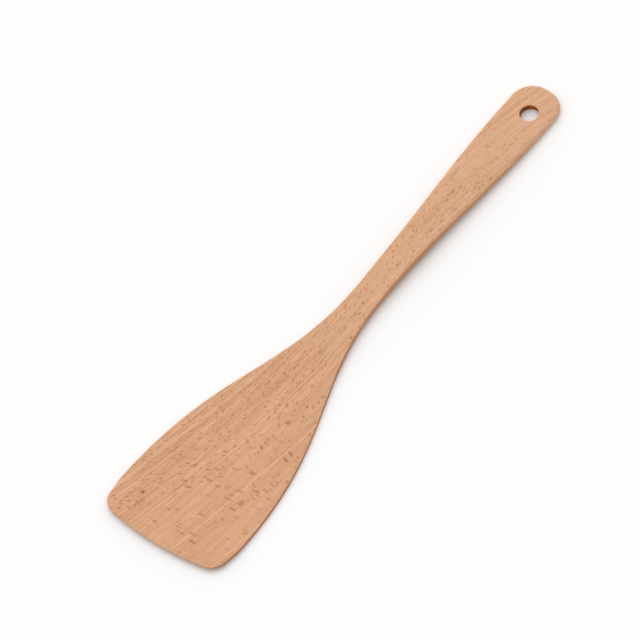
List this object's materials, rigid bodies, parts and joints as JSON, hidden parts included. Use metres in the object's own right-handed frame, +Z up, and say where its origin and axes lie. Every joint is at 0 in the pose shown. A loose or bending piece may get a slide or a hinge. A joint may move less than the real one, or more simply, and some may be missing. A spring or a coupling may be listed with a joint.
{
  "type": "wooden spatula",
  "caption": "Flat beech kitchen spatula: a wide thin blade flows through a narrow neck into a round-ended handle drilled for hanging.",
  "frame": {"origin": "on the table that the spatula lies on, under the middle of its overall length and width", "axes": "+X from the front of the blade to the end of the handle, +Z up from the table"},
  "size_m": [0.3, 0.0724, 0.0063],
  "materials": {
    "beech": "sanded, unvarnished beech with fine ray flecks"
  },
  "bodies": {
    "root": {"spatula": "beech"}
  },
  "joints": []
}
